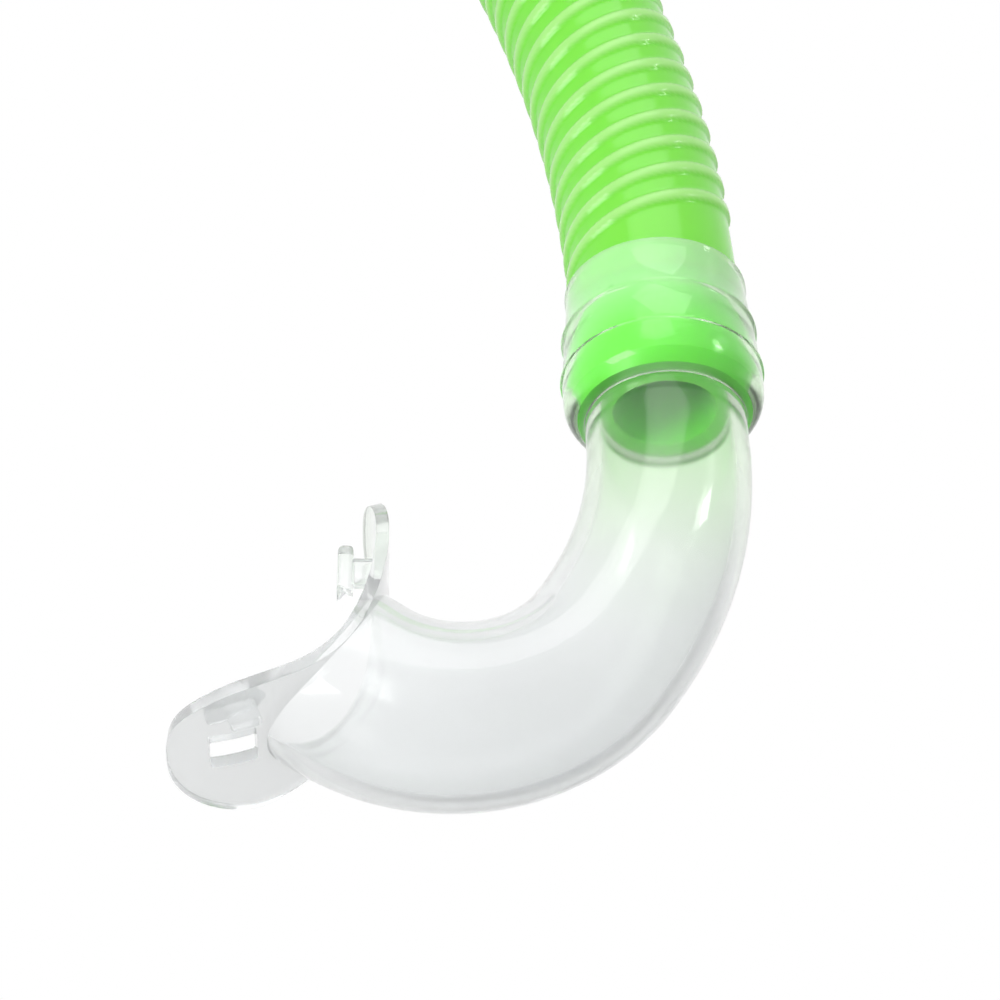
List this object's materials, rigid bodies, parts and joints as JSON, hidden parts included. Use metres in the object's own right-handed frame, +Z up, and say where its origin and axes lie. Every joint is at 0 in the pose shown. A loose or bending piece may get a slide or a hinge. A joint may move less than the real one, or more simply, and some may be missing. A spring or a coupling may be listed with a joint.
{
  "type": "snorkel",
  "caption": "Upright dry-top snorkel: silicone bite mouthpiece and elbow, ribbed flexible hose, rigid barrel, swivelling strap keeper and float valve top.",
  "frame": {"origin": "middle of the keeper's strap slot", "axes": "+Z up along the barrel, as a face-down swimmer wears it; the mouthpiece reaches towards -X; +Y runs through the strap slot"},
  "size_m": [0.1481, 0.046, 0.4159],
  "materials": {
    "clear_silicone": "clear satin silicone",
    "green_sleeve": "glossy lime green",
    "green_hose": "glossy translucent lime green",
    "green_coupler": "glossy lime green",
    "green_barrel": "glossy lime green",
    "orange_band": "fluorescent orange",
    "grey_silicone": "matt silicone",
    "black_plastic": "fine matt",
    "steel_pin": "brushed",
    "green_top": "satin lime green",
    "white_plastic": "satin white",
    "float_foam": "closed cell foam, white"
  },
  "bodies": {
    "clip": {"strap_clip": "black_plastic"},
    "keeper": {"keeper_ring": "black_plastic", "clip_pin": "steel_pin"},
    "liner": {"keeper_liner": "grey_silicone"},
    "barrel": {"barrel": "green_barrel", "signal_band": "orange_band", "hose_coupler": "green_coupler", "flex_hose": "green_hose", "top_base": "green_top", "hinge_pin": "steel_pin", "top_shroud": "green_top", "top_cap": "green_top"},
    "flap": {"valve_flap": "white_plastic", "flap_seal": "grey_silicone", "float_block": "float_foam"},
    "hose_end": {"end_sleeve": "green_sleeve"},
    "mouthpiece": {"mouthpiece": "clear_silicone"}
  },
  "joints": [
    {"name": "clip_swivel", "type": "hinge", "parent": "clip", "child": "keeper", "pos_m": [0, 0, 0], "axis": [1, 0, 0], "range_deg": [-90, 90]},
    {"name": "ring_turn", "type": "hinge", "parent": "keeper", "child": "liner", "pos_m": [0.0249, 0, 0], "axis": [0, 0, 1], "range_deg": [-90, 90]},
    {"name": "barrel_slide", "type": "slide", "parent": "liner", "child": "barrel", "axis": [0, 0, 1], "range_m": [-0.022, 0.06]},
    {"name": "valve_hinge", "type": "hinge", "parent": "barrel", "child": "flap", "pos_m": [0.0384, 0, 0.109], "axis": [0, -1, 0], "range_deg": [0, 35]},
    {"name": "hose_bend", "type": "hinge", "parent": "barrel", "child": "hose_end", "pos_m": [0.01937, 0, -0.16959], "axis": [0, 1, 0], "range_deg": [-40, 35], "stiffness_Nm_per_rad": 0.6, "deforming": ["flex_hose"]},
    {"name": "mouthpiece_swivel", "type": "hinge", "parent": "hose_end", "child": "mouthpiece", "pos_m": [-0.00642, 0, -0.2366], "axis": [0.43, 0, 0.9028], "range_deg": [-90, 90]}
  ]
}
